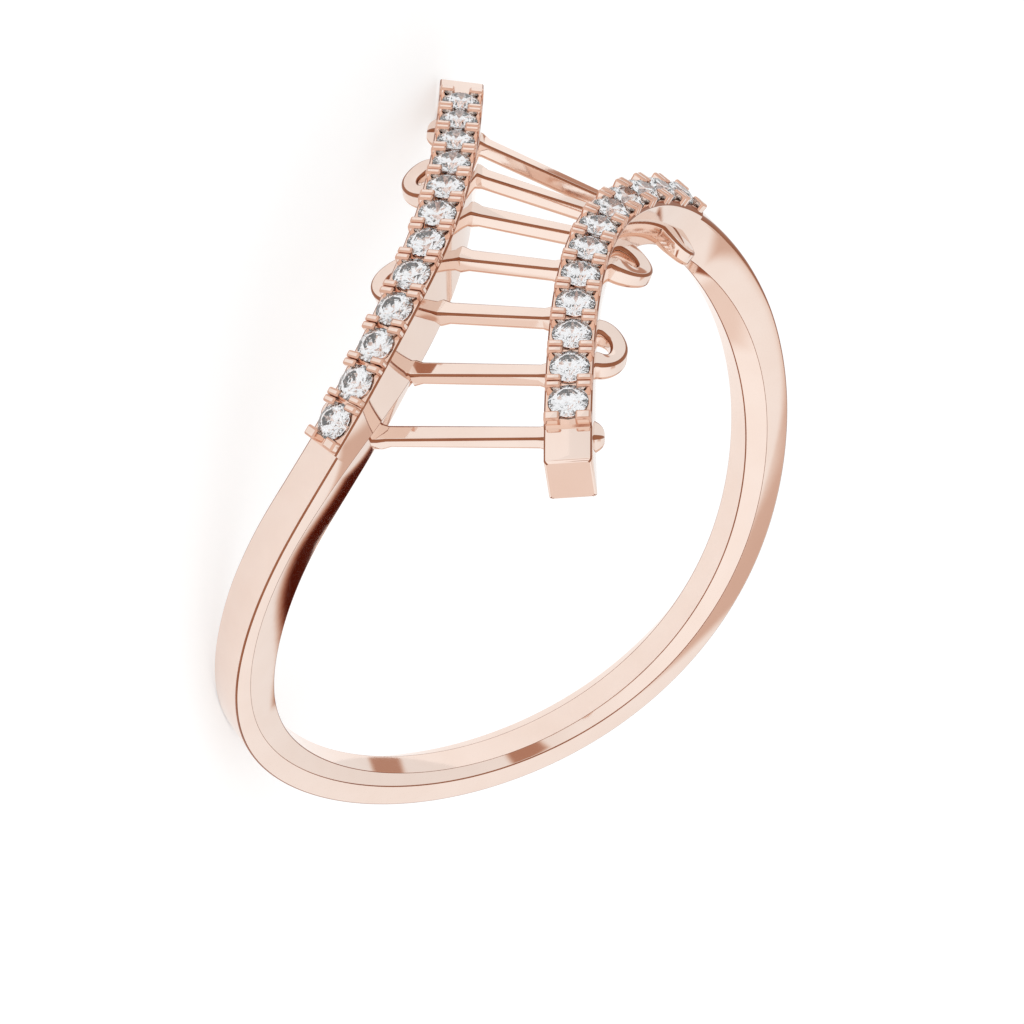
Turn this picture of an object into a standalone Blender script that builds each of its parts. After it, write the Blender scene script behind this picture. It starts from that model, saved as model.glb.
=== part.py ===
"""Bypass ring: a rose gold band whose two ends sweep past each other over the finger.

Each end carries a row of round brilliant stones. One square wire runs to and fro between
the two ends as seven rungs, and turns back through a half loop outside each end.
The ring is drawn upright, with the finger along Y and the stones on top, and is then laid
on its side on the plane z = 0, on the face that it rests on by itself.
"""
import math

import bmesh
import bpy
import numpy as np
from mathutils import Matrix, Vector

MM = 0.001

# One half of the band, from its free end over the finger to the bottom of the shank, in
# degrees and millimetres. The other half is this half turned half a turn about Z.
# angle: place round the finger axis, from the top towards +X
# lean: direction of the section's depth, as an angle like the first one
# reach: place along the finger axis
# outer: radius of the outer face
# half_width: half the width of the outer face
# near_depth: depth of the side wall that looks along -Y on the +X side of the finger
# far_depth: depth of the other side wall
# full_depth: depth at the inner face
# near_inner: from the middle of the inner face to its edge below the near side wall
# far_inner: the same below the far side wall
COLUMNS = ("angle", "lean", "reach", "outer", "half_width", "near_depth", "far_depth", "full_depth",
           "near_inner", "far_inner")
HALF_BAND = (
    (-16.3, -8, -7.78, 9.79, 0.62, 1.33, 1.33, 1.37, 0.57, 0.57),
    (-8, -4, -5.51, 10.05, 0.62, 1.31, 1.31, 1.35, 0.57, 0.57),
    (2, 2, -2.88, 10.30, 0.62, 1.29, 1.29, 1.33, 0.57, 0.57),
    (12, 12, -0.79, 10.38, 0.62, 1.29, 1.29, 1.33, 0.57, 0.57),
    (24, 24, 0.85, 10.27, 0.62, 1.28, 1.18, 1.32, 0.57, 0.52),
    (40, 40, 2.10, 10.10, 0.65, 1.28, 0.62, 1.38, 0.54, 0.34),
    (60, 60, 2.32, 9.92, 0.70, 1.05, 0.33, 1.46, 0.45, 0.20),
    (90, 90, 1.69, 9.80, 0.66, 0.74, 0.44, 1.34, 0.42, 0.36),
    (120, 120, 0.60, 9.59, 0.68, 0.68, 0.62, 1.13, 0.41, 0.40),
    (150, 150, 0.05, 9.37, 0.73, 0.66, 0.68, 0.91, 0.40, 0.39),
    (180, 180, 0.00, 9.26, 0.75, 0.66, 0.66, 0.80, 0.40, 0.40),
)
EDGE_CHAMFER = 0.05        # along both edges of the outer face
END_ROUNDING = 0.07        # round the two free ends
ARM_HALF = HALF_BAND[0][4]
SECTION_SPACING = 0.50     # between the band's sections, in the arms
SHANK_SPACING = 1.00       # between them in the shank
ARM_ANGLE = 60             # where an arm runs into the shank
SHANK_END = 180            # the bottom of the shank, where the two halves meet
ANGLE_SAMPLES = 600        # along an arm, to measure lengths on

# The stones
STONES_PER_ARM = 12
STONE_DIAMETER = 1.04
STONE_PITCH = 1.165
STONE_CLEARANCE = 0.03
PRONG_CLEARANCE = 0.035    # a little more, so that a prong doesn't end on the seat's own face
FIRST_STONE = 1.71         # from the free end, along the row
GIRDLE_HEIGHT = 0.14       # above the band's outer face
GIRDLE_THICKNESS = 0.03
SEAT_BOTTOM = 0.06         # radius of the flat at the bottom of a seat
POINT_CLEARANCE = 1.5      # under a stone's point, as a multiple of the clearance round it
TABLE_SHARE = 0.56         # of the stone's diameter
CROWN_SHARE = 0.13
PAVILION_SHARE = 0.43
MAINS = 8                  # main facets in the crown, and in the pavilion
GIRDLE_SIDES = 16
KITE_RADIUS = 0.80         # where the crown's kites are widest, as a share of the radius
KITE_HEIGHT = 0.52         # and of the crown's height
LOWER_HALF_RADIUS = 0.26   # where the pavilion's lower halves end, as a share of the radius
LOWER_HALF_DEPTH = 0.77    # and of the pavilion's depth

# The prongs between the stones, two bars a side, and the single ones at a row's ends
PRONG_TOP = 0.30           # above the band's outer face
PRONG_ROOT = 0.25          # below it, sunk into the band
PRONG_INSIDE = 0.20        # from the row's centre line
PRONG_OUTSIDE = 0.61
BAR_THICKNESS = 0.15
BAR_GAP = 0.06
END_PRONG_THICKNESS = 0.30
END_PRONG_PLACE = 0.56     # from the centre of the row's last stone

# The square wire of the rungs and half loops
RUNGS = 7
FIRST_RUNG = 1.60          # from the free end, along the row
RUNG_PITCH = 2.14          # along an arm
RUNG_DEPTH = 1.05          # of the wire's centre, below the band's outer face
WIRE_HALF = 0.23
CHAMFER_SHARE = 0.30       # of the wire's half size, on each of its corners
FLARE_HALF = 0.29          # where a rung or a loop meets an arm
FLARE_LENGTH = 0.45
# Each half loop of an arm, from its free end: reach of the wire's centre outside the arm, how far
# its feet stand in from their rungs, and how far it stands up the arm, as shares of the pitch
LOOPS = (
    (0.56, 0.20, 0.00),
    (0.76, 0.22, 0.04),
    (0.76, 0.34, 0.22),
)
LOOP_DROP = 0.15           # of a loop's outermost point towards the finger
LOOP_STEPS = 8
NUB_PROFILE = ((0.24, 0.13), (0.15, 0.24), (0.0, 0.34), (-0.25, 0.25))   # reach, half size

BACK_SHARE = 0.7           # least part of a resting face's normal that points to the back

# Colours, as linear red, green and blue
ROSE_GOLD = (0.87, 0.52, 0.38)
GOLD_ROUGHNESS = 0.08
DIAMOND = (0.95, 0.96, 0.98)
DIAMOND_ROUGHNESS = 0.02


def spline_through(knots, values):
    """Natural cubic spline through the values, as a function of the place."""
    count = len(knots)
    step = np.diff(knots)
    system = np.eye(count)
    target = np.zeros(count)
    for i in range(1, count - 1):
        system[i, i - 1:i + 2] = step[i - 1], 2 * (step[i - 1] + step[i]), step[i]
        target[i] = 6 * ((values[i + 1] - values[i]) / step[i]
                         - (values[i] - values[i - 1]) / step[i - 1])
    bend = np.linalg.solve(system, target)

    def value(place):
        i = int(np.clip(np.searchsorted(knots, place) - 1, 0, count - 2))
        before = (knots[i + 1] - place) / step[i]
        after = 1 - before
        curve = (before ** 3 - before) * bend[i] + (after ** 3 - after) * bend[i + 1]
        return before * values[i] + after * values[i + 1] + curve * step[i] ** 2 / 6

    return value


def band_columns():
    """Each column of the band's table as a smooth function of the angle, over both halves."""
    half = np.array(HALF_BAND, dtype=float)
    other = half[-2::-1].copy()
    other[:, :2] = 2 * SHANK_END - other[:, :2]
    other[:, 2] = -other[:, 2]
    rows = np.vstack((half, other))
    return {name: spline_through(rows[:, 0], rows[:, i]) for i, name in enumerate(COLUMNS)}


BAND = band_columns()
FREE_END = HALF_BAND[0][0]


def outward(degrees):
    return Vector((math.sin(math.radians(degrees)), 0, math.cos(math.radians(degrees))))


def outer_point(angle):
    """Middle of the band's outer face."""
    point = outward(angle) * BAND["outer"](angle)
    point.y = BAND["reach"](angle)
    return point


def band_frame(angle):
    """Origin, direction along the band, across it and outward, at one angle."""
    nearby = 0.01
    along = (outer_point(angle + nearby) - outer_point(angle - nearby)).normalized()
    depth_axis = outward(BAND["lean"](angle))
    across = along.cross(depth_axis).normalized()
    return outer_point(angle), along, across, depth_axis


def angle_table():
    """Angles along the right arm, with the length of the row of stones up to each.

    Lengths are measured along the stones' tables.
    """
    table_height = GIRDLE_HEIGHT + GIRDLE_THICKNESS / 2 + STONE_DIAMETER * CROWN_SHARE
    angles = np.linspace(FREE_END, ARM_ANGLE, ANGLE_SAMPLES)
    points = []
    for angle in angles:
        origin, _, _, depth_axis = band_frame(angle)
        points.append(origin + depth_axis * table_height)
    steps = [(b - a).length for a, b in zip(points, points[1:])]
    return angles, np.concatenate(([0.0], np.cumsum(steps)))


ARM_ANGLES, ARM_LENGTHS = angle_table()


def angle_at(length):
    """Angle at a length along the row of stones, from the free end."""
    return float(np.interp(length, ARM_LENGTHS, ARM_ANGLES))


def arm_point(length, sideways, height):
    """Point beside the right arm: outwards from its row is +, and up from its outer face is +."""
    origin, _, across, depth_axis = band_frame(angle_at(length))
    return origin + across * sideways + depth_axis * height


def turned(point):
    """The same point on the other arm."""
    return Vector((-point.x, -point.y, point.z))


def mesh_object(name, build, collection):
    """New object from a function that fills a bmesh in millimetres."""
    mesh = bpy.data.meshes.new(name)
    bm = bmesh.new()
    build(bm)
    bmesh.ops.recalc_face_normals(bm, faces=bm.faces)
    bm.to_mesh(mesh)
    bm.free()
    thing = bpy.data.objects.new(name, mesh)
    collection.objects.link(thing)
    return thing


def loft(bm, sections):
    """Closed skin through sections with equal numbers of points, capped at both ends."""
    rings = [[bm.verts.new(point) for point in section] for section in sections]
    count = len(rings[0])
    for ring, following in zip(rings, rings[1:]):
        for i in range(count):
            j = (i + 1) % count
            bm.faces.new((ring[i], ring[j], following[j], following[i]))
    bm.faces.new(rings[0][::-1])
    bm.faces.new(rings[-1])


def band_section(angle, shift=0.0, inset=0.0):
    """Outline of the band at one angle, moved along by shift and shrunk by inset."""
    origin, along, across, depth_axis = band_frame(angle)
    half = BAND["half_width"](angle) - inset
    full = BAND["full_depth"](angle) - inset
    top = inset
    edge = [(half - EDGE_CHAMFER, top), (half, top + EDGE_CHAMFER)]
    near = edge + [(half, BAND["near_depth"](angle) - inset), (BAND["near_inner"](angle) - inset, full)]
    far = edge + [(half, BAND["far_depth"](angle) - inset), (BAND["far_inner"](angle) - inset, full)]
    outline = near + [(-sideways, depth) for sideways, depth in far[::-1]]
    middle = origin + along * shift
    return [middle + across * sideways - depth_axis * depth for sideways, depth in outline]


def band_angles():
    """Angles of the band's sections over its right half."""
    arm = [angle_at(length) for length in np.arange(0, ARM_LENGTHS[-1], SECTION_SPACING)]
    shank_radius = BAND["outer"]((ARM_ANGLE + SHANK_END) / 2)
    shank_length = math.radians(SHANK_END - ARM_ANGLE) * shank_radius
    sections = round(shank_length / SHANK_SPACING) + 1
    return arm + list(np.linspace(ARM_ANGLE, SHANK_END, sections))


def build_band(bm):
    """The shank and both arms in one piece."""
    half = [band_section(FREE_END, -END_ROUNDING, END_ROUNDING)]
    half += [band_section(angle) for angle in band_angles()]
    other = [[turned(point) for point in section[::-1]] for section in half[-2::-1]]
    loft(bm, half + other)


def wire_section(centre, direction, up, half):
    """Square with chamfered corners round the wire's centre."""
    side = direction.cross(up).normalized()
    upright = side.cross(direction).normalized()
    cut = half * (1 - CHAMFER_SHARE)
    corners = ((half, cut), (cut, half), (-cut, half), (-half, cut),
               (-half, -cut), (-cut, -half), (cut, -half), (half, -cut))
    return [centre + side * x + upright * y for x, y in corners]


def rung_length(number):
    """Length along the right arm where a rung meets it, counted from the free end."""
    return FIRST_RUNG + number * RUNG_PITCH


def rung_ends():
    """Points where the rungs' lines cross the centre lines of the right and the left arm.

    Rung 0 meets the right arm next to its free end, and the left arm next to its shoulder.
    """
    right = [arm_point(rung_length(number), 0, -RUNG_DEPTH) for number in range(RUNGS)]
    return right, [turned(point) for point in right[::-1]]


def rung(start, end):
    """Wire between two points on the arms' centre lines, flared at each inner wall."""
    span = (end - start).length
    profile = ((ARM_HALF / 2, FLARE_HALF), (ARM_HALF, FLARE_HALF), (ARM_HALF + FLARE_LENGTH, WIRE_HALF))
    near = [(start.lerp(end, distance / span), half) for distance, half in profile]
    far = [(end.lerp(start, distance / span), half) for distance, half in profile[::-1]]
    return near + far


def half_loop(number):
    """Wire outside the right arm, from a rung to the next one up the arm, with half sizes."""
    right, left = rung_ends()
    feet = []
    for start, end in zip(left[number:number + 2], right[number:number + 2]):
        feet.append(end + (end - start).normalized() * ARM_HALF)
    reach, closing, shift = LOOPS[number // 2]
    feet = [feet[0].lerp(feet[1], closing + shift), feet[1].lerp(feet[0], closing - shift)]
    middle = rung_length(number) + RUNG_PITCH * (0.5 + shift)
    _, _, across, depth_axis = band_frame(angle_at(middle))
    inside = [(foot - across * ARM_HALF, FLARE_HALF) for foot in feet]
    loop = [inside[0]]
    for step in range(LOOP_STEPS + 1):
        turn = math.pi * step / LOOP_STEPS
        point = feet[0].lerp(feet[1], (1 - math.cos(turn)) / 2)
        point += (across * reach - depth_axis * LOOP_DROP) * math.sin(turn)
        loop.append((point, WIRE_HALF + (FLARE_HALF - WIRE_HALF) * math.cos(turn) ** 4))
    return loop + [inside[1]]


def nub():
    """End of the wire outside the right arm, from its tip inwards, with half sizes."""
    return [(arm_point(rung_length(0), ARM_HALF + reach, -RUNG_DEPTH), half)
            for reach, half in NUB_PROFILE]


def on_other_arm(route):
    return [(turned(point), half) for point, half in route]


def wire_route():
    """The wire's centre line, with its half size at each point, from one nub to the other."""
    right, left = rung_ends()
    route = nub()
    for number in range(RUNGS):
        starts_right = number % 2 == 0
        start, end = (right, left) if starts_right else (left, right)
        route += rung(start[number], end[number])
        if number < RUNGS - 1 and starts_right:
            route += on_other_arm(half_loop(RUNGS - 2 - number)[::-1])
        elif number < RUNGS - 1:
            route += half_loop(number)
    return route + on_other_arm(nub()[::-1])


def build_wire(bm):
    """Rungs and half loops as one swept wire."""
    route = wire_route()
    sections = []
    for i, (point, half) in enumerate(route):
        before = route[max(i - 1, 0)][0]
        after = route[min(i + 1, len(route) - 1)][0]
        up = Vector((point.x, 0, point.z)).normalized()
        sections.append(wire_section(point, (after - before).normalized(), up, half))
    loft(bm, sections)


def setting_matrix(length):
    """Frame on the row of stones: X along it, Z outward, with the girdle's centre as origin."""
    origin, along, across, depth_axis = band_frame(angle_at(length))
    normal = across.cross(along).normalized()
    middle = origin + depth_axis * GIRDLE_HEIGHT
    frame = Matrix((along, -across, normal)).transposed().to_4x4()
    return Matrix.Translation(middle) @ frame


def stone_length(number):
    return FIRST_STONE + number * STONE_PITCH


def prong_boxes():
    """Place and thickness along the row of each prong bar on one side of one arm."""
    boxes = [(stone_length(0) - END_PRONG_PLACE, END_PRONG_THICKNESS)]
    for number in range(STONES_PER_ARM - 1):
        middle = stone_length(number) + STONE_PITCH / 2
        offset = (BAR_THICKNESS + BAR_GAP) / 2
        boxes += [(middle - offset, BAR_THICKNESS), (middle + offset, BAR_THICKNESS)]
    boxes.append((stone_length(STONES_PER_ARM - 1) + END_PRONG_PLACE, END_PRONG_THICKNESS))
    return boxes


HALF_TURN = Matrix.Rotation(math.pi, 4, "Z")


def build_prongs(bm):
    """All prong bars on both arms."""
    bottom = -GIRDLE_HEIGHT - PRONG_ROOT
    height = PRONG_TOP + PRONG_ROOT
    width = PRONG_OUTSIDE - PRONG_INSIDE
    for length, thickness in prong_boxes():
        for side in (-1, 1):
            place = Matrix.Translation((0, side * (PRONG_INSIDE + width / 2), bottom + height / 2))
            size = Matrix.Diagonal((thickness, width, height, 1))
            for arm in (Matrix.Identity(4), HALF_TURN):
                bmesh.ops.create_cube(bm, size=1, matrix=arm @ setting_matrix(length) @ place @ size)


def ring_of_points(radius, height, count, moved=0.0):
    """Points evenly round a circle, moved round by a share of the step between them."""
    step = 2 * math.pi / count
    turns = [(i + moved) * step for i in range(count)]
    return [Vector((radius * math.cos(turn), radius * math.sin(turn), height)) for turn in turns]


def add_hull(bm, points):
    """Convex solid round the points."""
    verts = [bm.verts.new(point) for point in points]
    result = bmesh.ops.convex_hull(bm, input=verts)
    loose = {item for key in ("geom_interior", "geom_unused") for item in result[key]}
    bmesh.ops.delete(bm, geom=[item for item in loose if isinstance(item, bmesh.types.BMVert)],
                     context="VERTS")


def add_seats(bm, clearance):
    """Room for each stone: its outline with a clearance all round."""
    radius = STONE_DIAMETER / 2 + clearance
    table = STONE_DIAMETER * TABLE_SHARE / 2 + clearance
    rim = GIRDLE_THICKNESS / 2 + clearance / 2
    top = GIRDLE_THICKNESS / 2 + STONE_DIAMETER * CROWN_SHARE + clearance
    bottom = GIRDLE_THICKNESS / 2 + STONE_DIAMETER * PAVILION_SHARE + clearance * POINT_CLEARANCE
    for number in range(STONES_PER_ARM):
        for arm in (Matrix.Identity(4), HALF_TURN):
            outline = ring_of_points(radius, -rim, GIRDLE_SIDES)
            outline += ring_of_points(radius, rim, GIRDLE_SIDES)
            outline += ring_of_points(table, top, MAINS)
            outline += ring_of_points(SEAT_BOTTOM, -bottom, MAINS)
            place = arm @ setting_matrix(stone_length(number))
            add_hull(bm, [place @ point for point in outline])


def build_seats(bm):
    add_seats(bm, STONE_CLEARANCE)


def build_prong_seats(bm):
    add_seats(bm, PRONG_CLEARANCE)


def build_brilliant(bm):
    """Round brilliant: table, stars, kites and halves above the girdle, mains and halves below."""
    radius = STONE_DIAMETER / 2
    table = radius * TABLE_SHARE
    crown = STONE_DIAMETER * CROWN_SHARE
    pavilion = STONE_DIAMETER * PAVILION_SHARE
    rim = GIRDLE_THICKNESS / 2
    points = ring_of_points(table, rim + crown, MAINS, 1 / 2)
    points += ring_of_points(radius * KITE_RADIUS, rim + crown * KITE_HEIGHT, MAINS)
    points += ring_of_points(radius, rim, GIRDLE_SIDES)
    points += ring_of_points(radius, -rim, GIRDLE_SIDES)
    points += ring_of_points(radius * LOWER_HALF_RADIUS, -rim - pavilion * LOWER_HALF_DEPTH, MAINS, 1 / 2)
    points.append(Vector((0, 0, -rim - pavilion)))
    add_hull(bm, points)


def apply_boolean(thing, cutter, operation):
    """Join or cut with the exact solver, and keep the result as the object's own mesh."""
    step = thing.modifiers.new(operation.lower(), "BOOLEAN")
    step.operation = operation
    step.object = cutter
    step.solver = "EXACT"
    graph = bpy.context.evaluated_depsgraph_get()
    result = bpy.data.meshes.new_from_object(thing.evaluated_get(graph))
    thing.modifiers.clear()
    thing.data = result


def principled(name, colour, roughness, metallic, transmission=0.0):
    material = bpy.data.materials.new(name)
    material.use_nodes = True
    shader = material.node_tree.nodes["Principled BSDF"]
    shader.inputs["Base Color"].default_value = (*colour, 1)
    shader.inputs["Roughness"].default_value = roughness
    shader.inputs["Metallic"].default_value = metallic
    shader.inputs["Transmission Weight"].default_value = transmission
    return material


def helper(thing):
    thing.hide_render = True
    thing.display_type = "WIRE"
    return thing


def make_metal(parts, cutters):
    """The gold body: band, wire and prongs in one, with a seat cut for each stone."""
    metal = mesh_object("ring_metal", build_band, parts)
    wire = helper(mesh_object("wire", build_wire, cutters))
    prongs = helper(mesh_object("prongs", build_prongs, cutters))
    seats = helper(mesh_object("seats", build_seats, cutters))
    prong_seats = helper(mesh_object("prong_seats", build_prong_seats, cutters))
    apply_boolean(metal, seats, "DIFFERENCE")
    apply_boolean(prongs, prong_seats, "DIFFERENCE")
    apply_boolean(metal, wire, "UNION")
    apply_boolean(metal, prongs, "UNION")
    metal.data.materials.clear()
    metal.data.materials.append(principled("rose gold", ROSE_GOLD, GOLD_ROUGHNESS, 1.0))
    return metal


def make_stones(parts):
    """Twelve stones on each arm, numbered from the arm's free end."""
    material = principled("diamond", DIAMOND, DIAMOND_ROUGHNESS, 0.0, 1.0)
    stones = []
    for arm, turn in (("right", Matrix.Identity(4)), ("left", HALF_TURN)):
        for number in range(STONES_PER_ARM):
            stone = mesh_object(f"stone_{arm}_{number + 1:02d}", build_brilliant, parts)
            stone.matrix_world = turn @ setting_matrix(stone_length(number))
            stone.data.materials.append(material)
            stones.append(stone)
    return stones


def solid_centre(mesh):
    """Centre of mass of a closed mesh."""
    mesh.calc_loop_triangles()
    points = np.array([vertex.co for vertex in mesh.vertices])
    a, b, c = (points[[triangle.vertices[i] for triangle in mesh.loop_triangles]] for i in range(3))
    volumes = np.einsum("ij,ij->i", a, np.cross(b, c)) / 6
    return Vector(((a + b + c) / 4 * volumes[:, None]).sum(axis=0) / volumes.sum())


def resting_turn(metal):
    """Rotation that stands the hull face under the centre of mass flat on the floor.

    Of the hull's faces it takes the one on the ring's back, +Y, that holds the centre best.
    """
    centre = solid_centre(metal.data)
    bm = bmesh.new()
    add_hull(bm, [vertex.co for vertex in metal.data.vertices])
    bmesh.ops.recalc_face_normals(bm, faces=bm.faces)
    best_margin = 0
    best_normal = None
    for face in bm.faces:
        normal = face.normal
        if normal.y < BACK_SHARE:
            continue
        below = centre - normal * (centre - face.verts[0].co).dot(normal)
        margins = []
        for loop in face.loops:
            a, b = loop.vert.co, loop.link_loop_next.vert.co
            inward = normal.cross(b - a).normalized()
            margins.append((below - a).dot(inward))
        if min(margins) > best_margin:
            best_margin = min(margins)
            best_normal = normal.copy()
    bm.free()
    return best_normal.rotation_difference(Vector((0, 0, -1))).to_matrix().to_4x4()


def lay_on_side(metal, stones):
    """Turn the whole ring onto its resting face, centred over the origin."""
    turn = resting_turn(metal)
    flat = Vector((1, 0, 0))
    heading = turn.to_3x3() @ flat
    turn = Matrix.Rotation(-math.atan2(heading.y, heading.x), 4, "Z") @ turn
    points = [turn @ vertex.co for vertex in metal.data.vertices]
    low = Vector([min(point[i] for point in points) for i in range(3)])
    high = Vector([max(point[i] for point in points) for i in range(3)])
    shift = Matrix.Translation((-(low.x + high.x) / 2, -(low.y + high.y) / 2, -low.z))
    for thing in [metal] + stones:
        thing.matrix_world = shift @ turn @ thing.matrix_world


def to_metres(things):
    """Shrink what was shaped in millimetres to its real size."""
    for thing in things:
        thing.data.transform(Matrix.Scale(MM, 4))
        thing.location *= MM


def new_collection(name):
    collection = bpy.data.collections.new(name)
    bpy.context.scene.collection.children.link(collection)
    return collection


def main():
    for old in list(bpy.data.objects):
        bpy.data.objects.remove(old, do_unlink=True)
    parts = new_collection("bypass ring")
    cutters = new_collection("cutters")
    metal = make_metal(parts, cutters)
    stones = make_stones(parts)
    to_metres([metal] + stones + list(cutters.objects))
    bpy.context.view_layer.update()
    lay_on_side(metal, stones)


main()
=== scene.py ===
"""Dresses the bypass ring: polished rose gold with softened edges, cut stones, floor and light.

The band, the wire and the prongs are built again from the same measures as in the part's source,
with finer sections and rounded edges, in millimetres. The ring is drawn upright, with the finger
along Y and the stones on top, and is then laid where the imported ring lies.
"""

import math

import bmesh
import bpy
import numpy as np
from mathutils import Matrix, Vector


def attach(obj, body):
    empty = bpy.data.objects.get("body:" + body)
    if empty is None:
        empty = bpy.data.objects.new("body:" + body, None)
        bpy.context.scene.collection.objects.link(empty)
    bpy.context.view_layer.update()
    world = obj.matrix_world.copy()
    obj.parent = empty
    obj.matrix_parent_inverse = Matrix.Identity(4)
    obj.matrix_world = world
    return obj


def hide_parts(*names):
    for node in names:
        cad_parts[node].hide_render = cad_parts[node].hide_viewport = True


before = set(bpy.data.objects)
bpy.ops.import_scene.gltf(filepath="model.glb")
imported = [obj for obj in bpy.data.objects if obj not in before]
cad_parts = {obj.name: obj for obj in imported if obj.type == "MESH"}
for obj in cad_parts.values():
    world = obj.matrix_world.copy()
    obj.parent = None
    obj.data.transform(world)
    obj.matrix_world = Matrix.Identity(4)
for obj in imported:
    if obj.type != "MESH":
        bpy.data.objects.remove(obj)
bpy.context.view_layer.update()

MM = 0.001
HALF_TURN = Matrix.Rotation(math.pi, 4, "Z")
BOTH_ARMS = (Matrix.Identity(4), HALF_TURN)

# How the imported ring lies: the world's place of the upright ring's X, Y and Z
LYING = Matrix((
    (0.79323757, 0.60884976, 0.00872663, -0.00001041),
    (0, -0.0143314, 0.9998973, -0.00070037),
    (0.60891229, -0.79315615, -0.0113682, 0.00527681),
    (0, 0, 0, 1),
)) @ Matrix.Scale(MM, 4)

# One half of the band, from its free end over the finger to the bottom of the shank, in
# degrees and millimetres. The other half is this half turned half a turn about Z.
# angle: place round the finger axis, from the top towards +X
# lean: direction of the section's depth, as an angle like the first one
# reach: place along the finger axis
# outer: radius of the outer face
# half_width: half the width of the outer face
# near_depth: depth of the side wall that looks along -Y on the +X side of the finger
# far_depth: depth of the other side wall
# full_depth: depth at the inner face
# near_inner: from the middle of the inner face to its edge below the near side wall
# far_inner: the same below the far side wall
COLUMNS = ("angle", "lean", "reach", "outer", "half_width", "near_depth", "far_depth", "full_depth",
           "near_inner", "far_inner")
HALF_BAND = (
    (-16.3, -8, -7.78, 9.79, 0.62, 1.33, 1.33, 1.37, 0.57, 0.57),
    (-8, -4, -5.51, 10.05, 0.62, 1.31, 1.31, 1.35, 0.57, 0.57),
    (2, 2, -2.88, 10.30, 0.62, 1.29, 1.29, 1.33, 0.57, 0.57),
    (12, 12, -0.79, 10.38, 0.62, 1.29, 1.29, 1.33, 0.57, 0.57),
    (24, 24, 0.85, 10.27, 0.62, 1.28, 1.18, 1.32, 0.57, 0.52),
    (40, 40, 2.10, 10.10, 0.65, 1.28, 0.62, 1.38, 0.54, 0.34),
    (60, 60, 2.32, 9.92, 0.70, 1.05, 0.33, 1.46, 0.45, 0.20),
    (90, 90, 1.69, 9.80, 0.66, 0.74, 0.44, 1.34, 0.42, 0.36),
    (120, 120, 0.60, 9.59, 0.68, 0.68, 0.62, 1.13, 0.41, 0.40),
    (150, 150, 0.05, 9.37, 0.73, 0.66, 0.68, 0.91, 0.40, 0.39),
    (180, 180, 0.00, 9.26, 0.75, 0.66, 0.66, 0.80, 0.40, 0.40),
)
FREE_END = HALF_BAND[0][0]
ARM_HALF = HALF_BAND[0][4]
ARM_ANGLE = 60             # where an arm runs into the shank
SHANK_END = 180
TRIMMED_ANGLE = 80         # from here on the shank is trimmed
SHANK_TRIM = 0.025         # keeps the smooth shank inside the box of the faceted one
ANGLE_SAMPLES = 600        # along an arm or the shank, to measure lengths on
NEARBY = 0.01              # on either side of an angle, to find the band's direction there
SECTION_SPACING = 0.10     # between the band's sections
EDGE_RADIUS = 0.062        # of the outer face's edges
INNER_RADIUS = 0.055       # of the edges inside
BAND_RADII = (EDGE_RADIUS, INNER_RADIUS, INNER_RADIUS, INNER_RADIUS, INNER_RADIUS, EDGE_RADIUS)
END_RADIUS = 0.08          # round the free ends
FILLET_STEPS = 6           # in the arc of each edge
END_STEPS = 6              # in the rounding of each free end
# For each edge: its material's number, and how many strips on either side of its arc stay plain.
# Material 1 is a painted dark reflection line along the edge's arc; material 2 is painted shade on the
# wire's under edges.
BAND_EDGES = ((1, 1),) * 6
WIRE_EDGES = ((1, 1), (2, 0), (2, 0), (1, 1))
# Radius of the shoulder's outer edge on the near side, by the band's angle
SHOULDER_ANGLES = (18, 36, 52, 72)
SHOULDER_RADII = (EDGE_RADIUS, 0.17, 0.17, EDGE_RADIUS)
CREST = 0.09               # how far the metal between the stones stands above the bare ends
ROW_MARGIN = 0.74          # of that metal, before the first stone's centre and after the last one's
STEP_LENGTH = 0.01         # along the band, of the step up to that metal

# The stones
STONES_PER_ARM = 12
STONE_DIAMETER = 1.04
STONE_PITCH = 1.165
STONE_CLEARANCE = 0.03
FIRST_STONE = 1.71
GIRDLE_HEIGHT = 0.14
GIRDLE_THICKNESS = 0.03
SEAT_BOTTOM = 0.06
SEAT_SIDES = 40
CROWN_SHARE = 0.13
PAVILION_SHARE = 0.43
STONE_CROSSINGS = 6        # facets that light crosses before it is taken as even
EVEN_LIGHT = (0.32, 0.32, 0.34)

# The prongs
PRONG_TOP = 0.30
PRONG_ROOT = 0.25
PRONG_INSIDE = 0.20
PRONG_OUTSIDE = 0.61
BAR_THICKNESS = 0.21
BAR_GAP = 0.02
BAR_ROUNDING = 0.06
BAR_STEPS = 4
END_PRONG_THICKNESS = 0.30
END_PRONG_PLACE = 0.56

# The square wire
RUNGS = 7
FIRST_RUNG = 1.60
RUNG_PITCH = 2.14
RUNG_DEPTH = 1.05
WIRE_HALF = 0.23
WIRE_RADIUS = 0.075
WIRE_INNER_RADIUS = 0.13
FLARE_HALF = 0.29
FLARE_LENGTH = 0.24
# Each half loop of an arm, from its free end
# reach: of the wire's centre outside the arm, in millimetres
# closing: how far its feet stand in from their rungs, as a share of the pitch
# shift: how far it stands up the arm, as a share of the pitch
LOOPS = (
    (0.56, 0.20, 0.00),
    (0.76, 0.22, 0.04),
    (0.76, 0.34, 0.22),
)
LOOP_DROP = 0.15
LOOP_RADIUS = 0.09
LOOP_STEPS = 32
SIDE_SAMPLES = 60          # along an arm, to find which side of it a point of the wire is on
SIDE_REACH = 3             # farthest that such a point may be from the arm
SIDE_MARGIN = 0.01
NUB_PROFILE = ((0.24, 0.08), (0.225, 0.15), (0.18, 0.22), (0.11, 0.28), (0.0, 0.34), (-0.25, 0.25))

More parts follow.
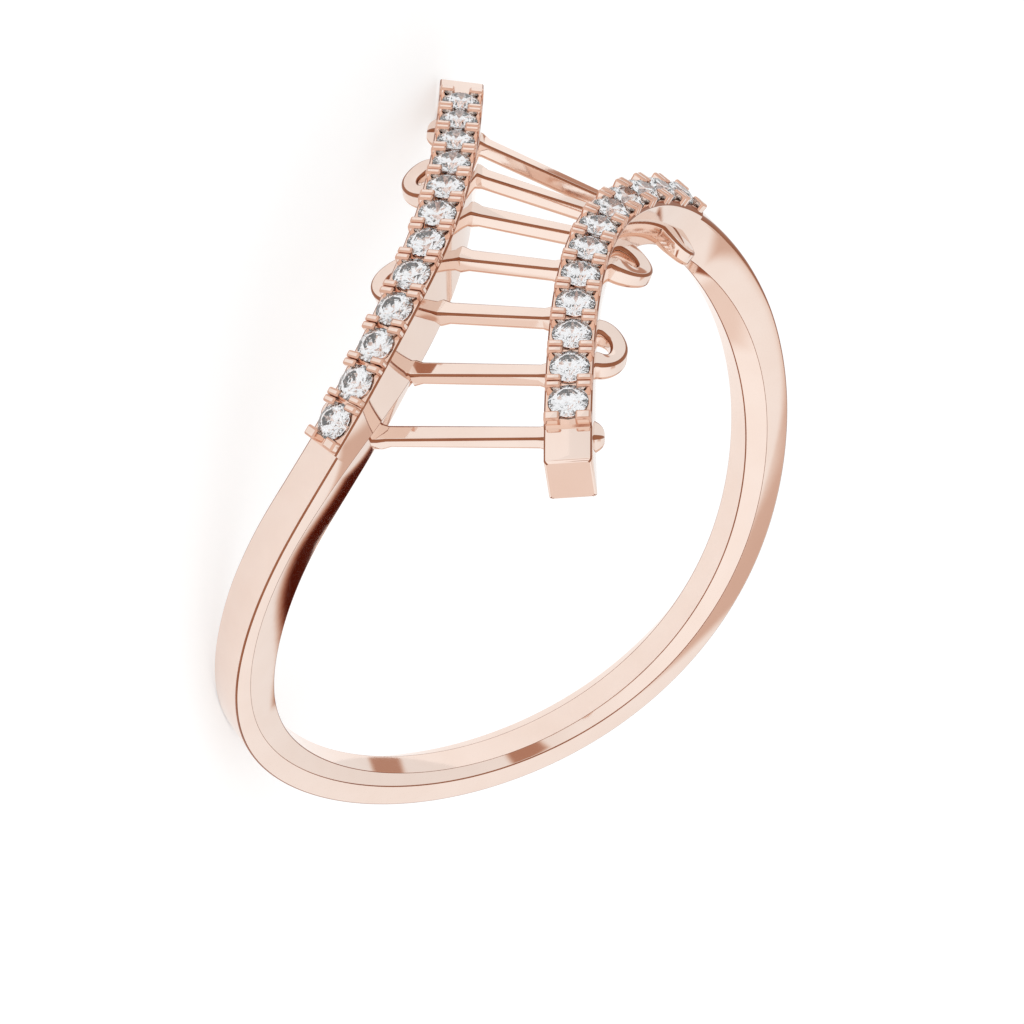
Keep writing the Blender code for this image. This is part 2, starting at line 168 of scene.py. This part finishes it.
# The finish of the metal: noise in cycles per metre, the range of its roughness, and bumps
CLOUD_SCALE = 900.0
MARK_SCALE = 5000.0
GOLD_ROUGHNESS = (0.03, 0.09)
BUMP_STRENGTH = 0.02
BUMP_HEIGHT = 0.00001
SHARP_ANGLE = 35           # between faces that keep a sharp edge, in degrees
PRONG_SHARP_ANGLE = 50
NORMAL_WEIGHT = 90

# The finish of the stones
STONE_COLOUR = (0.97, 0.98, 1.0)
STONE_IOR = 2.42
STONE_MARK_SCALE = 4000.0
STONE_ROUGHNESS = (0.0, 0.02)

# The floor, in metres
FLOOR_RADIUS = 0.036
FLOOR_SIDES = 256
FLOOR_COLOUR = (0.55, 0.55, 0.55)
FLOOR_GLOW = 0.52

# The studio round the ring: the backdrop, the sky's brighter side and levels, and dark cards.
# side and height give a card's place in degrees round the upright ring and up.
BACKDROP = 1.05            # what the camera sees behind the floor
CARD_SOFTNESS = (0.75, 1.25)
BRIGHT_SIDE = (-60, -10)
LEVELS = (0.93, 1.12)
SHADE_POWERS = (1.0, 1.9, 2.4)      # a darker place is also a warmer one
# side, height, half width, half height, tilt, strength
CARDS = (
    (100.3, -52.2, 6.2, 4.2, 41, 0.93),
    (42, -28, 8, 9, 0, 0.28),
    (-45, -56, 20, 14, 0, 0.14),
    (130, 5, 8, 6, 0, 0.45),
    (85, 72, 8, 6, 0, 0.50),
    (-48, 56, 6, 6, 0, 0.40),
    (-33, 2, 3, 8, 0, 0.60),
    (-6, -75, 4, 8, 0, 0.70),
)

# The camera, as seen from the upright ring, in degrees and millimetres
CAMERA_SIDE = -29.462231
CAMERA_HEIGHT = 41.069616
CAMERA_ROLL = 0.336556
CAMERA_DISTANCE = 126.660642
CAMERA_SHIFT = (-0.036594, -0.376926)
CAMERA_LENS = 158.906
SENSOR = 36
CLIP = (0.001, 10)         # in metres


def spline_through(knots, values):
    """Natural cubic spline through the values, as a function of the place."""
    count = len(knots)
    step = np.diff(knots)
    system = np.eye(count)
    target = np.zeros(count)
    for i in range(1, count - 1):
        system[i, i - 1:i + 2] = step[i - 1], 2 * (step[i - 1] + step[i]), step[i]
        target[i] = 6 * ((values[i + 1] - values[i]) / step[i]
                         - (values[i] - values[i - 1]) / step[i - 1])
    bend = np.linalg.solve(system, target)

    def value(place):
        i = int(np.clip(np.searchsorted(knots, place) - 1, 0, count - 2))
        before = (knots[i + 1] - place) / step[i]
        after = 1 - before
        curve = (before ** 3 - before) * bend[i] + (after ** 3 - after) * bend[i + 1]
        return before * values[i] + after * values[i + 1] + curve * step[i] ** 2 / 6

    return value


def band_columns():
    half = np.array(HALF_BAND, dtype=float)
    other = half[-2::-1].copy()
    other[:, :2] = 2 * SHANK_END - other[:, :2]
    other[:, 2] = -other[:, 2]
    rows = np.vstack((half, other))
    return {name: spline_through(rows[:, 0], rows[:, i]) for i, name in enumerate(COLUMNS)}


BAND = band_columns()


def outward(degrees):
    return Vector((math.sin(math.radians(degrees)), 0, math.cos(math.radians(degrees))))


def outer_point(angle):
    trim = float(np.interp(angle, (ARM_ANGLE, TRIMMED_ANGLE), (0, SHANK_TRIM)))
    point = outward(angle) * (BAND["outer"](angle) - trim)
    point.y = BAND["reach"](angle)
    return point


def band_frame(angle):
    """Origin, direction along the band, across it and outward, at one angle."""
    along = (outer_point(angle + NEARBY) - outer_point(angle - NEARBY)).normalized()
    depth_axis = outward(BAND["lean"](angle))
    across = along.cross(depth_axis).normalized()
    return outer_point(angle), along, across, depth_axis


def length_table(last_angle, height):
    """Angles from the free end on, with the length up to each at a height above the outer face."""
    angles = np.linspace(FREE_END, last_angle, ANGLE_SAMPLES)
    points = []
    for angle in angles:
        origin, _, _, depth_axis = band_frame(angle)
        points.append(origin + depth_axis * height)
    steps = [(b - a).length for a, b in zip(points, points[1:])]
    return angles, np.concatenate(([0.0], np.cumsum(steps)))


TABLE_HEIGHT = GIRDLE_HEIGHT + GIRDLE_THICKNESS / 2 + STONE_DIAMETER * CROWN_SHARE
ARM_ANGLES, ARM_LENGTHS = length_table(ARM_ANGLE, TABLE_HEIGHT)


def angle_at(length):
    return float(np.interp(length, ARM_LENGTHS, ARM_ANGLES))


def arm_point(length, sideways, height):
    origin, _, across, depth_axis = band_frame(angle_at(length))
    return origin + across * sideways + depth_axis * height


def turned(point):
    return Vector((-point.x, -point.y, point.z))


def rounded_outline(corners, radii, steps):
    """Closed outline with an arc at each corner."""
    points = []
    count = len(corners)
    for i, (corner, radius) in enumerate(zip(corners, radii)):
        corner = Vector(corner)
        before = (Vector(corners[i - 1]) - corner).normalized()
        after = (Vector(corners[(i + 1) % count]) - corner).normalized()
        half_angle = before.angle(after) / 2
        centre = corner + (before + after).normalized() * radius / math.sin(half_angle)
        reach = radius / math.tan(half_angle)
        start = corner + before * reach - centre
        end = corner + after * reach - centre
        turn = start.angle_signed(end)
        for step in range(steps + 1):
            angle = -turn * step / steps
            arm = Vector((start.x * math.cos(angle) - start.y * math.sin(angle),
                          start.x * math.sin(angle) + start.y * math.cos(angle)))
            points.append(centre + arm)
    return points


def edge_strips(edges, steps):
    """Material number of each strip of a rounded outline."""
    strips = []
    for number, plain in edges:
        strips += [number if plain <= step < steps - plain else 0 for step in range(steps)] + [0]
    return strips


def new_piece(name, build, materials):
    """A piece made by a function that fills a bmesh in millimetres, with the given materials."""
    mesh = bpy.data.meshes.new(name)
    bm = bmesh.new()
    build(bm)
    bmesh.ops.recalc_face_normals(bm, faces=bm.faces)
    bm.to_mesh(mesh)
    bm.free()
    piece = bpy.data.objects.new(name, mesh)
    bpy.context.scene.collection.objects.link(piece)
    for material in materials:
        mesh.materials.append(material)
    return piece


def loft(bm, sections, strips, rows=()):
    """Closed skin through sections with equal numbers of points, capped at both ends.

    Each strip gets its material number, and the last strip the third material along the rows.
    """
    rings = [[bm.verts.new(point) for point in section] for section in sections]
    count = len(rings[0])
    for number, (ring, following) in enumerate(zip(rings, rings[1:])):
        for i in range(count):
            j = (i + 1) % count
            face = bm.faces.new((ring[i], ring[j], following[j], following[i]))
            face.material_index = strips[i]
            if i == count - 1 and number in rows:
                face.material_index = 2
    bm.faces.new(rings[0][::-1])
    bm.faces.new(rings[-1])


def band_section(angle, shift=0.0, inset=0.0, crest=0.0):
    origin, along, across, depth_axis = band_frame(angle)
    half = BAND["half_width"](angle)
    full = BAND["full_depth"](angle)
    corners = ((half, -crest), (half, BAND["near_depth"](angle)), (BAND["near_inner"](angle), full),
               (-BAND["far_inner"](angle), full), (-half, BAND["far_depth"](angle)), (-half, -crest))
    radii = list(BAND_RADII)
    radii[0] = float(np.interp(angle, SHOULDER_ANGLES, SHOULDER_RADII))
    middle_depth = full / 2
    grow_across = (half - inset) / half
    grow_depth = (middle_depth - inset) / middle_depth
    middle = origin + along * shift
    section = []
    for sideways, depth in rounded_outline(corners, radii, FILLET_STEPS):
        depth = middle_depth + (depth - middle_depth) * grow_depth
        section.append(middle + across * sideways * grow_across - depth_axis * depth)
    return section


def build_band(bm):
    """The shank and both arms in one piece."""
    angles, lengths = length_table(SHANK_END, 0)
    places = np.linspace(0, lengths[-1], round(lengths[-1] / SECTION_SPACING) + 1)
    half = []
    for step in range(END_STEPS, 0, -1):
        turn = math.pi / 2 * step / END_STEPS
        shift = -END_RADIUS * math.sin(turn)
        inset = END_RADIUS * (1 - math.cos(turn))
        half.append(band_section(FREE_END, shift, inset))
    start = stone_length(0) - ROW_MARGIN
    end = stone_length(STONES_PER_ARM - 1) + ROW_MARGIN
    row_start = angle_at(start)
    row_end = angle_at(end)
    marks = [row_start, angle_at(start + STEP_LENGTH), row_end, angle_at(end + STEP_LENGTH)]
    # Along the rows of stones, the top faces get the third material: painted shade between the stones
    rows = []
    for angle in sorted(list(np.interp(places, lengths, angles)) + marks):
        if row_start < angle <= row_end:
            rows.append(len(half))
        half.append(band_section(angle, crest=CREST if row_start < angle <= row_end else 0))
    other = [[turned(point) for point in section[::-1]] for section in half[-2::-1]]
    last = len(half + other) - 2
    rows += [last - row for row in rows]
    loft(bm, half + other, edge_strips(BAND_EDGES, FILLET_STEPS), rows)


def wire_section(centre, direction, up, half, radius):
    """Square with rounded corners round the wire's centre."""
    side = direction.cross(up).normalized()
    upright = side.cross(direction).normalized()
    corners = ((half, half), (half, -half), (-half, -half), (-half, half))
    edges = (radius, WIRE_INNER_RADIUS, WIRE_INNER_RADIUS, radius)
    radii = [edge * half / WIRE_HALF for edge in edges]
    outline = rounded_outline(corners, radii, FILLET_STEPS)
    return [centre + side * x + upright * y for x, y in outline]


def rung_length(number):
    return FIRST_RUNG + number * RUNG_PITCH


def rung_ends():
    right = [arm_point(rung_length(number), 0, -RUNG_DEPTH) for number in range(RUNGS)]
    return right, [turned(point) for point in right[::-1]]


def rung(start, end):
    span = (end - start).length
    profile = ((ARM_HALF / 2, FLARE_HALF), (ARM_HALF, FLARE_HALF), (ARM_HALF + FLARE_LENGTH, WIRE_HALF))
    near = [(start.lerp(end, distance / span), half) for distance, half in profile]
    far = [(end.lerp(start, distance / span), half) for distance, half in profile[::-1]]
    return near + far


def half_loop(number):
    right, left = rung_ends()
    feet = []
    for start, end in zip(left[number:number + 2], right[number:number + 2]):
        feet.append(end + (end - start).normalized() * ARM_HALF)
    reach, closing, shift = LOOPS[number // 2]
    feet = [feet[0].lerp(feet[1], closing + shift), feet[1].lerp(feet[0], closing - shift)]
    middle = rung_length(number) + RUNG_PITCH * (0.5 + shift)
    _, _, across, depth_axis = band_frame(angle_at(middle))
    inside = [(foot - across * ARM_HALF, FLARE_HALF) for foot in feet]
    loop = [inside[0]]
    for step in range(LOOP_STEPS + 1):
        turn = math.pi * step / LOOP_STEPS
        point = feet[0].lerp(feet[1], (1 - math.cos(turn)) / 2)
        point += (across * reach - depth_axis * LOOP_DROP) * math.sin(turn)
        loop.append((point, WIRE_HALF + (FLARE_HALF - WIRE_HALF) * math.cos(turn) ** 4))
    return loop + [inside[1]]


def nub():
    return [(arm_point(rung_length(0), ARM_HALF + reach, -RUNG_DEPTH), half)
            for reach, half in NUB_PROFILE]


def on_other_arm(route):
    return [(turned(point), half) for point, half in route]


def wire_route():
    right, left = rung_ends()
    route = nub()
    for number in range(RUNGS):
        starts_right = number % 2 == 0
        start, end = (right, left) if starts_right else (left, right)
        route += rung(start[number], end[number])
        if number < RUNGS - 1 and starts_right:
            route += on_other_arm(half_loop(RUNGS - 2 - number)[::-1])
        elif number < RUNGS - 1:
            route += half_loop(number)
    return route + on_other_arm(nub()[::-1])


def is_outside(point):
    """Whether a point of the wire lies outside both arms."""
    angles = np.linspace(FREE_END, ARM_ANGLE, SIDE_SAMPLES)
    for end in (point, turned(point)):
        gaps = [(outer_point(angle) - end).length for angle in angles]
        origin, _, across, _ = band_frame(float(angles[int(np.argmin(gaps))]))
        if min(gaps) < SIDE_REACH and (end - origin).dot(across) > ARM_HALF - SIDE_MARGIN:
            return True
    return False


def build_wire(bm):
    route = wire_route()
    sections = []
    for i, (point, half) in enumerate(route):
        before = route[max(i - 1, 0)][0]
        after = route[min(i + 1, len(route) - 1)][0]
        up = Vector((point.x, 0, point.z)).normalized()
        radius = LOOP_RADIUS if is_outside(point) else WIRE_RADIUS
        sections.append(wire_section(point, (after - before).normalized(), up, half, radius))
    loft(bm, sections, edge_strips(WIRE_EDGES, FILLET_STEPS))


def setting_matrix(length):
    """Frame on the row of stones: X along it, Z outward, with the girdle's centre as origin."""
    origin, along, across, depth_axis = band_frame(angle_at(length))
    normal = across.cross(along).normalized()
    middle = origin + depth_axis * GIRDLE_HEIGHT
    axes = Matrix((along, -across, normal)).transposed().to_4x4()
    return Matrix.Translation(middle) @ axes


def stone_length(number):
    return FIRST_STONE + number * STONE_PITCH


def prong_boxes():
    boxes = [(stone_length(0) - END_PRONG_PLACE, END_PRONG_THICKNESS)]
    for number in range(STONES_PER_ARM - 1):
        middle = stone_length(number) + STONE_PITCH / 2
        offset = (BAR_THICKNESS + BAR_GAP) / 2
        boxes += [(middle - offset, BAR_THICKNESS), (middle + offset, BAR_THICKNESS)]
    boxes.append((stone_length(STONES_PER_ARM - 1) + END_PRONG_PLACE, END_PRONG_THICKNESS))
    return boxes


def build_prongs(bm):
    """All prong bars on both arms, with rounded edges."""
    bottom = -GIRDLE_HEIGHT - PRONG_ROOT
    height = PRONG_TOP + PRONG_ROOT
    width = PRONG_OUTSIDE - PRONG_INSIDE
    for length, thickness in prong_boxes():
        for side in (-1, 1):
            place = Matrix.Translation((0, side * (PRONG_INSIDE + width / 2), bottom + height / 2))
            size = Matrix.Diagonal((thickness, width, height, 1))
            for arm in BOTH_ARMS:
                matrix = arm @ setting_matrix(length) @ place @ size
                cube = bmesh.ops.create_cube(bm, size=1, matrix=matrix)
                edges = {edge for vert in cube["verts"] for edge in vert.link_edges}
                # The rounded edges get the second material: painted shade on the prongs' sides
                bmesh.ops.bevel(bm, geom=list(edges), offset=BAR_ROUNDING, segments=BAR_STEPS,
                                affect="EDGES", profile=0.5, material=1)


def ring_of_points(radius, height, count):
    turns = [i * 2 * math.pi / count for i in range(count)]
    return [Vector((radius * math.cos(turn), radius * math.sin(turn), height)) for turn in turns]


def build_seats(bm):
    """Room for each stone."""
    radius = STONE_DIAMETER / 2 + STONE_CLEARANCE
    rim = GIRDLE_THICKNESS / 2 + STONE_CLEARANCE / 2
    bottom = GIRDLE_THICKNESS / 2 + STONE_DIAMETER * PAVILION_SHARE + STONE_CLEARANCE
    for number in range(STONES_PER_ARM):
        for arm in BOTH_ARMS:
            outline = ring_of_points(radius, -rim, SEAT_SIDES)
            outline += ring_of_points(radius, 1, SEAT_SIDES)
            outline += ring_of_points(SEAT_BOTTOM, -bottom, SEAT_SIDES)
            place = arm @ setting_matrix(stone_length(number))
            verts = [bm.verts.new(place @ point) for point in outline]
            bmesh.ops.convex_hull(bm, input=verts)
    # The seat walls that the cut leaves in the band get the third material: painted shade under the
    # stones
    for face in bm.faces:
        face.material_index = 2


def cut_by(piece, cutter):
    """Cut with the exact solver, and keep the result as the piece's own mesh."""
    step = piece.modifiers.new("seats", "BOOLEAN")
    step.operation = "DIFFERENCE"
    step.object = cutter
    step.solver = "EXACT"
    graph = bpy.context.evaluated_depsgraph_get()
    result = bpy.data.meshes.new_from_object(piece.evaluated_get(graph))
    piece.modifiers.clear()
    piece.data = result


def finish_metal(piece, sharp_degrees):
    """Lay a piece where the ring lies, and shade it smooth between its sharp edges."""
    piece.data.transform(LYING)
    for polygon in piece.data.polygons:
        polygon.use_smooth = True
    piece.data.set_sharp_from_angle(angle=math.radians(sharp_degrees))
    weighted = piece.modifiers.new("even normals", "WEIGHTED_NORMAL")
    weighted.keep_sharp = True
    weighted.weight = NORMAL_WEIGHT
    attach(piece, "root")
    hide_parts("ring_metal")


def node_into(tree, kind, **inputs):
    node = tree.nodes.new(kind)
    for name, value in inputs.items():
        node.inputs[name.replace("_", " ")].default_value = value
    return node


def add_roughness(tree, shader, place, scale, detail, roughness, limits):
    """Fine marks that vary a shader's roughness within limits. Returns their noise."""
    marks = node_into(tree, "ShaderNodeTexNoise", Scale=scale, Detail=detail, Roughness=roughness)
    tree.links.new(place.outputs["Object"], marks.inputs["Vector"])
    gloss = tree.nodes.new("ShaderNodeMapRange")
    gloss.inputs["To Min"].default_value = limits[0]
    gloss.inputs["To Max"].default_value = limits[1]
    tree.links.new(marks.outputs["Fac"], gloss.inputs["Value"])
    tree.links.new(gloss.outputs["Result"], shader.inputs["Roughness"])
    return marks


def gold_material(name, colour, dark):
    """Mirror polished rose gold with faint polishing marks."""
    material = bpy.data.materials.new(name)
    material.use_nodes = True
    tree = material.node_tree
    shader = tree.nodes["Principled BSDF"]
    shader.inputs["Metallic"].default_value = 1.0
    place = tree.nodes.new("ShaderNodeTexCoord")
    clouds = node_into(tree, "ShaderNodeTexNoise", Scale=CLOUD_SCALE, Detail=3.0, Roughness=0.5)
    tree.links.new(place.outputs["Object"], clouds.inputs["Vector"])
    tint = tree.nodes.new("ShaderNodeValToRGB")
    tint.color_ramp.elements[0].position = 0.3
    tint.color_ramp.elements[0].color = (*dark, 1)
    tint.color_ramp.elements[1].position = 0.7
    tint.color_ramp.elements[1].color = (*colour, 1)
    tree.links.new(clouds.outputs["Fac"], tint.inputs["Fac"])
    tree.links.new(tint.outputs["Color"], shader.inputs["Base Color"])
    marks = add_roughness(tree, shader, place, MARK_SCALE, 4.0, 0.6, GOLD_ROUGHNESS)
    bump = node_into(tree, "ShaderNodeBump", Strength=BUMP_STRENGTH, Distance=BUMP_HEIGHT)
    tree.links.new(marks.outputs["Fac"], bump.inputs["Height"])
    tree.links.new(bump.outputs["Normal"], shader.inputs["Normal"])
    return material


def stone_material():
    """Clear cut stone. Light that has crossed many facets is taken as even, to keep it free of noise."""
    material = bpy.data.materials.new("clear stone")
    material.use_nodes = True
    tree = material.node_tree
    shader = tree.nodes["Principled BSDF"]
    output = tree.nodes["Material Output"]
    path = tree.nodes.new("ShaderNodeLightPath")
    deep = math_node(tree, "GREATER_THAN", path.outputs["Ray Depth"], STONE_CROSSINGS)
    even = node_into(tree, "ShaderNodeEmission", Color=(*EVEN_LIGHT, 1), Strength=1.0)
    mix = tree.nodes.new("ShaderNodeMixShader")
    tree.links.new(deep, mix.inputs["Fac"])
    tree.links.new(shader.outputs["BSDF"], mix.inputs[1])
    tree.links.new(even.outputs["Emission"], mix.inputs[2])
    tree.links.new(mix.outputs["Shader"], output.inputs["Surface"])
    shader.inputs["Base Color"].default_value = (*STONE_COLOUR, 1)
    shader.inputs["Transmission Weight"].default_value = 1.0
    shader.inputs["IOR"].default_value = STONE_IOR
    place = tree.nodes.new("ShaderNodeTexCoord")
    add_roughness(tree, shader, place, STONE_MARK_SCALE, 2.0, 0.5, STONE_ROUGHNESS)
    return material


def floor_material():
    """A pale light table: it glows a little, so that the ring's shadow on it stays soft."""
    material = bpy.data.materials.new("pale floor")
    material.use_nodes = True
    tree = material.node_tree
    shader = tree.nodes["Principled BSDF"]
    shader.inputs["Base Color"].default_value = (*FLOOR_COLOUR, 1)
    shader.inputs["Emission Color"].default_value = (1, 1, 1, 1)
    shader.inputs["Emission Strength"].default_value = FLOOR_GLOW
    shader.inputs["Roughness"].default_value = 0.9
    shader.inputs["Specular IOR Level"].default_value = 0.1
    return material


GOLD = gold_material("rose gold", (0.875, 0.725, 0.645), (0.855, 0.695, 0.610))
# Darker gold on the middle of each rounded edge: painted dark reflection lines
PAINTED_EDGE_REFLECTION_GOLD = gold_material("rose gold painted dark edge reflection", (0.33, 0.13, 0.07), (0.28, 0.10, 0.05))
# Darker, warmer gold for the seats and the top between the stones: painted shade
PAINTED_SEAT_SHADE_GOLD = gold_material("rose gold painted shade under the stones", (0.83, 0.60, 0.49), (0.79, 0.54, 0.43))
# Darker gold on the wire's under edges: painted shade
PAINTED_WIRE_SHADE_GOLD = gold_material("rose gold painted shade under the wire", (0.72, 0.46, 0.34), (0.68, 0.41, 0.30))
# Darker gold on the prongs' rounded edges: painted shade
PAINTED_PRONG_SHADE_GOLD = gold_material("rose gold prong edges painted shade", (0.70, 0.44, 0.33), (0.66, 0.39, 0.29))


def make_metal():
    band = new_piece("band", build_band, (GOLD, PAINTED_EDGE_REFLECTION_GOLD, PAINTED_SEAT_SHADE_GOLD))
    seats = new_piece("seats", build_seats, (GOLD, PAINTED_EDGE_REFLECTION_GOLD, PAINTED_SEAT_SHADE_GOLD))
    cut_by(band, seats)
    bpy.data.objects.remove(seats, do_unlink=True)
    wire = new_piece("rungs_and_loops", build_wire, (GOLD, PAINTED_EDGE_REFLECTION_GOLD, PAINTED_WIRE_SHADE_GOLD))
    prongs = new_piece("prongs", build_prongs, (GOLD, PAINTED_PRONG_SHADE_GOLD))
    finish_metal(band, SHARP_ANGLE)
    finish_metal(wire, SHARP_ANGLE)
    finish_metal(prongs, PRONG_SHARP_ANGLE)


def dress_stones():
    material = stone_material()
    for name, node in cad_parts.items():
        if name.startswith("stone_"):
            node.data.materials.clear()
            node.data.materials.append(material)


def make_floor():
    bpy.ops.mesh.primitive_circle_add(vertices=FLOOR_SIDES, radius=FLOOR_RADIUS, fill_type="NGON")
    floor = bpy.context.object
    floor.name = "floor"
    floor.data.materials.append(floor_material())


def ring_direction(side, height):
    """World direction of a place in the studio, in degrees round the upright ring and up."""
    side = math.radians(side)
    height = math.radians(height)
    direction = Vector((math.sin(side) * math.cos(height), -math.cos(side) * math.cos(height),
                        math.sin(height)))
    return (LYING.to_3x3() @ direction).normalized()


def dot_with(tree, direction, axis):
    node = tree.nodes.new("ShaderNodeVectorMath")
    node.operation = "DOT_PRODUCT"
    node.inputs[1].default_value = axis
    tree.links.new(direction, node.inputs[0])
    return node.outputs["Value"]


def math_node(tree, operation, first, second=None):
    node = tree.nodes.new("ShaderNodeMath")
    node.operation = operation
    tree.links.new(first, node.inputs[0])
    if isinstance(second, (int, float)):
        node.inputs[1].default_value = second
    elif second is not None:
        tree.links.new(second, node.inputs[1])
    return node.outputs["Value"]


def card_mask(tree, direction, side, height, half_width, half_height, tilt, strength):
    """Soft edged dark card at a place in the studio: how dark it makes each direction."""
    centre = ring_direction(side, height)
    across = ring_direction(side + 90, 0)
    upright = centre.cross(across)
    turn = Matrix.Rotation(math.radians(tilt), 3, centre)
    across = turn @ across / math.sin(math.radians(half_width))
    upright = turn @ upright / math.sin(math.radians(half_height))
    sideways = math_node(tree, "ABSOLUTE", dot_with(tree, direction, across))
    upwards = math_node(tree, "ABSOLUTE", dot_with(tree, direction, upright))
    far = math_node(tree, "MAXIMUM", sideways, upwards)
    soft = tree.nodes.new("ShaderNodeMapRange")
    soft.interpolation_type = "SMOOTHSTEP"
    soft.inputs["From Min"].default_value = CARD_SOFTNESS[0]
    soft.inputs["From Max"].default_value = CARD_SOFTNESS[1]
    soft.inputs["To Min"].default_value = strength
    soft.inputs["To Max"].default_value = 0
    tree.links.new(far, soft.inputs["Value"])
    facing = math_node(tree, "GREATER_THAN", dot_with(tree, direction, centre), 0.0)
    return math_node(tree, "MULTIPLY", soft.outputs["Result"], facing)


def make_world():
    """Soft white studio all round, with a few dark cards for the metal to mirror."""
    world = bpy.data.worlds.new("studio")
    bpy.context.scene.world = world
    world.use_nodes = True
    tree = world.node_tree
    background = tree.nodes["Background"]
    place = tree.nodes.new("ShaderNodeTexCoord")
    direction = place.outputs["Generated"]
    glow = dot_with(tree, direction, ring_direction(BRIGHT_SIDE[0], BRIGHT_SIDE[1]))
    level = tree.nodes.new("ShaderNodeMapRange")
    level.interpolation_type = "SMOOTHSTEP"
    level.inputs["From Min"].default_value = -1
    level.inputs["To Min"].default_value = LEVELS[0]
    level.inputs["To Max"].default_value = LEVELS[1]
    tree.links.new(glow, level.inputs["Value"])
    dark = None
    for card in CARDS:
        mask = card_mask(tree, direction, *card)
        dark = mask if dark is None else math_node(tree, "MAXIMUM", dark, mask)
    light = math_node(tree, "SUBTRACT", math_node(tree, "MULTIPLY", dark, -1.0), -1.0)
    colour = tree.nodes.new("ShaderNodeCombineColor")
    for channel, power in enumerate(SHADE_POWERS):
        tree.links.new(math_node(tree, "POWER", light, power), colour.inputs[channel])
    tree.links.new(colour.outputs["Color"], background.inputs["Color"])
    tree.links.new(level.outputs["Result"], background.inputs["Strength"])
    backdrop = node_into(tree, "ShaderNodeBackground", Color=(1, 1, 1, 1), Strength=BACKDROP)
    path = tree.nodes.new("ShaderNodeLightPath")
    seen = tree.nodes.new("ShaderNodeMixShader")
    tree.links.new(path.outputs["Is Camera Ray"], seen.inputs["Fac"])
    tree.links.new(background.outputs["Background"], seen.inputs[1])
    tree.links.new(backdrop.outputs["Background"], seen.inputs[2])
    tree.links.new(seen.outputs["Shader"], tree.nodes["World Output"].inputs["Surface"])


def make_camera():
    side = math.radians(CAMERA_SIDE)
    height = math.radians(CAMERA_HEIGHT)
    back = Vector((math.sin(side) * math.cos(height), -math.cos(side) * math.cos(height),
                   math.sin(height)))
    right = Vector((0, 0, 1)).cross(back).normalized()
    up = back.cross(right)
    roll = math.radians(CAMERA_ROLL)
    level = right
    right = level * math.cos(roll) + up * math.sin(roll)
    up = up * math.cos(roll) - level * math.sin(roll)
    place = back * CAMERA_DISTANCE - right * CAMERA_SHIFT[0] - up * CAMERA_SHIFT[1]
    camera = bpy.data.objects.new("camera", bpy.data.cameras.new("camera"))
    bpy.context.scene.collection.objects.link(camera)
    turn = LYING.to_3x3().normalized() @ Matrix((right, up, back)).transposed()
    camera.matrix_world = Matrix.Translation(LYING @ place) @ turn.to_4x4()
    camera.data.sensor_width = SENSOR
    camera.data.lens = CAMERA_LENS
    camera.data.clip_start, camera.data.clip_end = CLIP
    bpy.context.scene.camera = camera


make_metal()
dress_stones()
make_floor()
make_world()
make_camera()
bpy.context.scene.view_settings.view_transform = "Standard"
